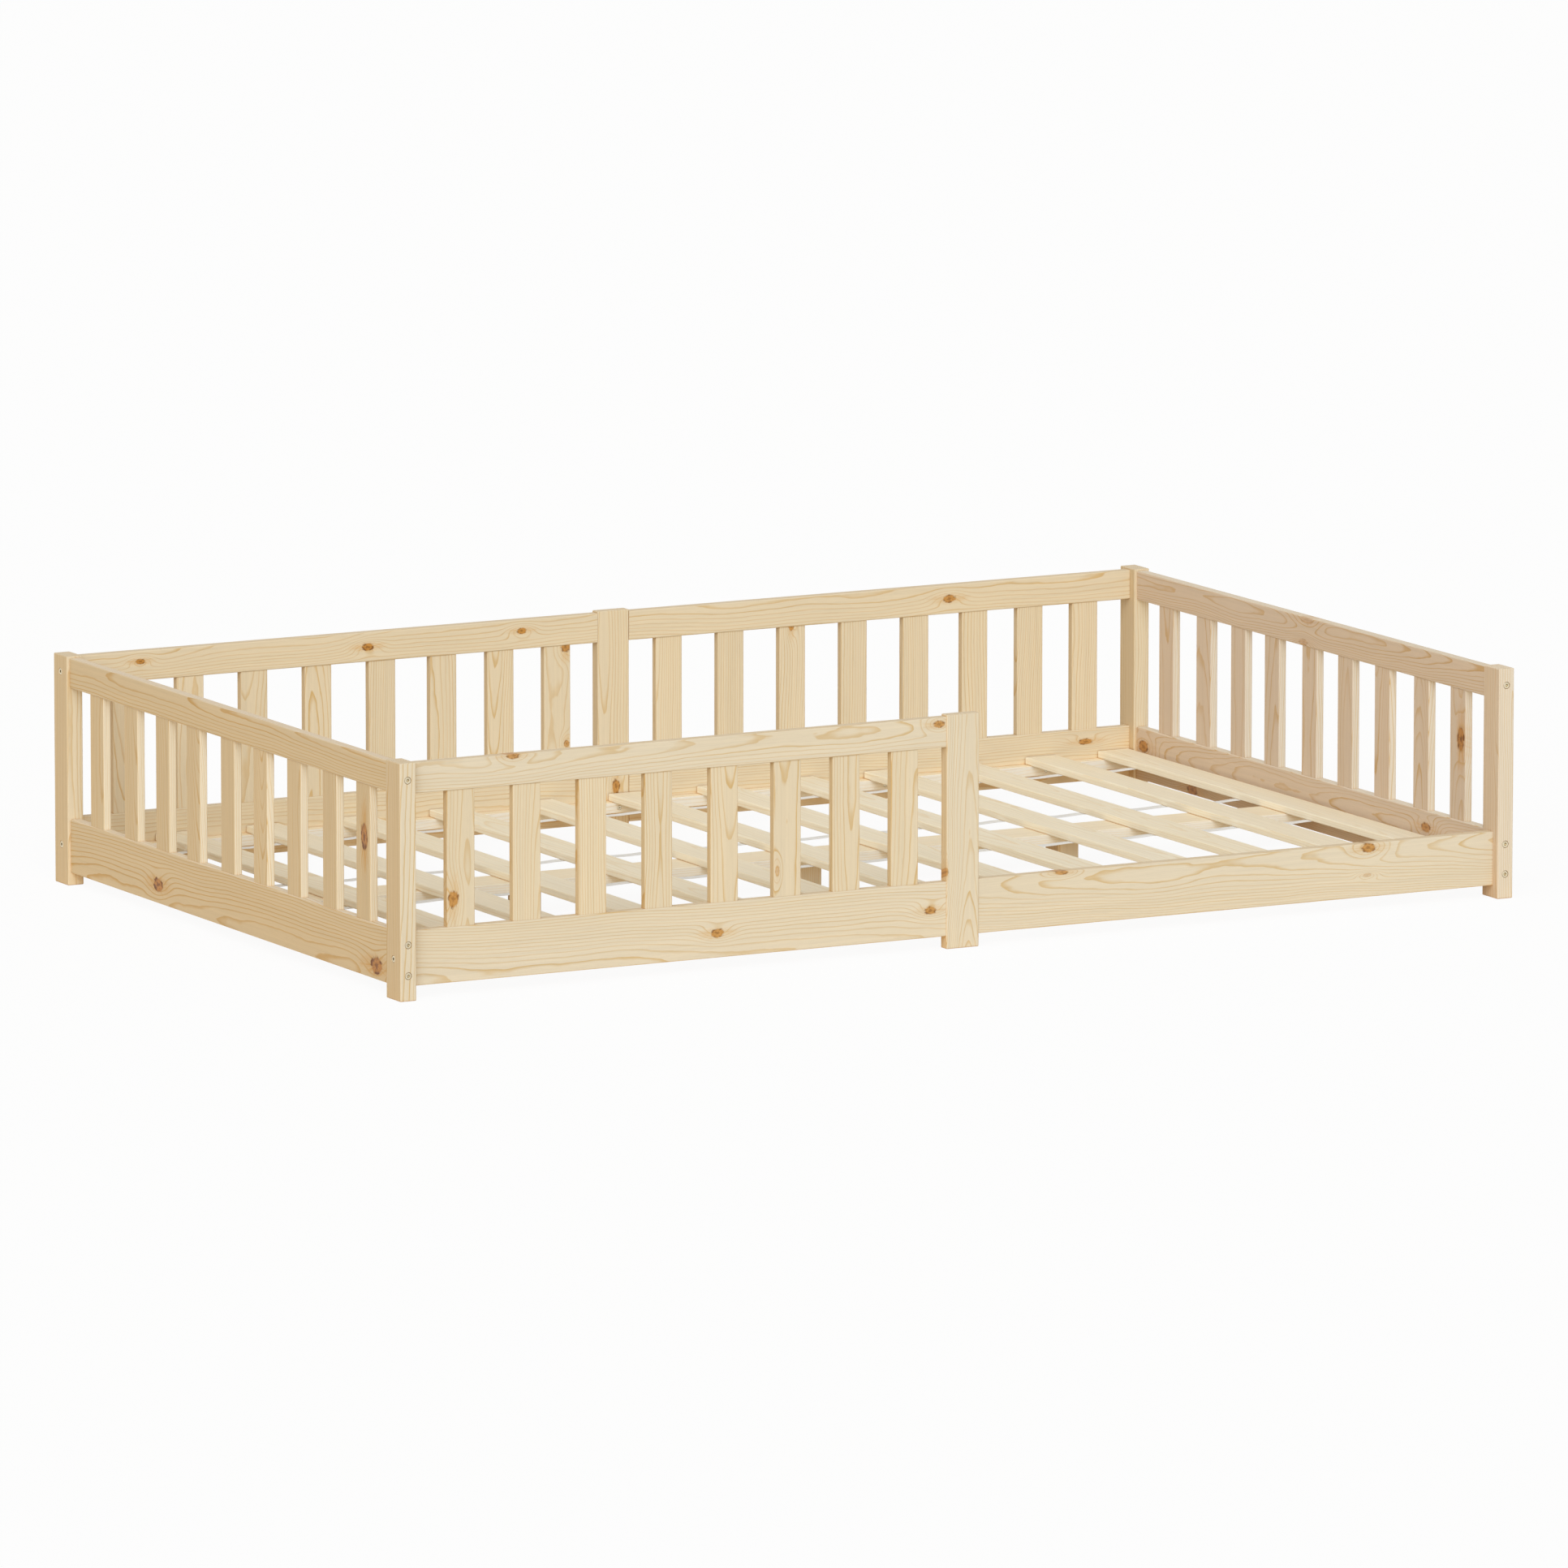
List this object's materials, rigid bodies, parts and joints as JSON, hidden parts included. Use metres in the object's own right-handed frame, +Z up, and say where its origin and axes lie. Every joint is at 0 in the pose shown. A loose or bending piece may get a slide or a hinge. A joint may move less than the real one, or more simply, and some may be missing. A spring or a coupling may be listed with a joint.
{
  "type": "toddler floor bed",
  "caption": "Low wooden floor bed for a small child: barred guard panels on four sides, an open entry in half of the front, and a loose slatted base that lifts out.",
  "frame": {"origin": "on the floor under the middle of the bed", "axes": "+X along the bed towards the end beside the open entry, -Y towards the front with the entry, +Z up"},
  "size_m": [2.06, 1.276, 0.385],
  "materials": {
    "pine_posts": "planed and sanded, unfinished",
    "pine_rails": "planed and sanded, unfinished",
    "pine_bars": "planed and sanded, unfinished",
    "pine_slats": "planed, unfinished",
    "pine_supports": "planed, unfinished",
    "dowel_wood": "turned, unfinished",
    "bright_screws": "bright zinc plating",
    "webbing": "woven"
  },
  "bodies": {
    "frame": {"centre_beam": "pine_supports", "centre_beam_dowels": "dowel_wood", "end_rail_dowels": "dowel_wood", "foot_screws": "bright_screws", "front_bars": "pine_bars", "front_dowels": "dowel_wood", "front_ledge": "pine_supports", "front_ledge_screws": "bright_screws", "front_left_bottom_rail": "pine_rails", "front_left_post": "pine_posts", "front_mid_post": "pine_posts", "front_post_bolts": "bright_screws", "front_right_bottom_rail": "pine_rails", "front_right_post": "pine_posts", "front_top_rail": "pine_rails", "left_bars": "pine_bars", "left_bottom_rail": "pine_rails", "left_foot": "pine_supports", "left_side_bolts": "bright_screws", "left_top_rail": "pine_rails", "middle_foot": "pine_supports", "rear_dowels": "dowel_wood", "rear_ledge": "pine_supports", "rear_ledge_screws": "bright_screws", "rear_left_bars": "pine_bars", "rear_left_bottom_rail": "pine_rails", "rear_left_post": "pine_posts", "rear_left_top_rail": "pine_rails", "rear_mid_post": "pine_posts", "rear_post_bolts": "bright_screws", "rear_right_bars": "pine_bars", "rear_right_bottom_rail": "pine_rails", "rear_right_post": "pine_posts", "rear_right_top_rail": "pine_rails", "right_bars": "pine_bars", "right_bottom_rail": "pine_rails", "right_foot": "pine_supports", "right_side_bolts": "bright_screws", "right_top_rail": "pine_rails"},
    "slat_base": {"front_inner_tape": "webbing", "front_outer_tape": "webbing", "rear_inner_tape": "webbing", "rear_outer_tape": "webbing", "slat_01": "pine_slats", "slat_02": "pine_slats", "slat_03": "pine_slats", "slat_04": "pine_slats", "slat_05": "pine_slats", "slat_06": "pine_slats", "slat_07": "pine_slats", "slat_08": "pine_slats", "slat_09": "pine_slats", "slat_10": "pine_slats", "slat_11": "pine_slats", "slat_12": "pine_slats", "slat_13": "pine_slats"}
  },
  "joints": [
    {"name": "slat_base_lift", "type": "slide", "parent": "frame", "child": "slat_base", "axis": [0, 0, 1], "range_m": [0, 0.35]}
  ]
}
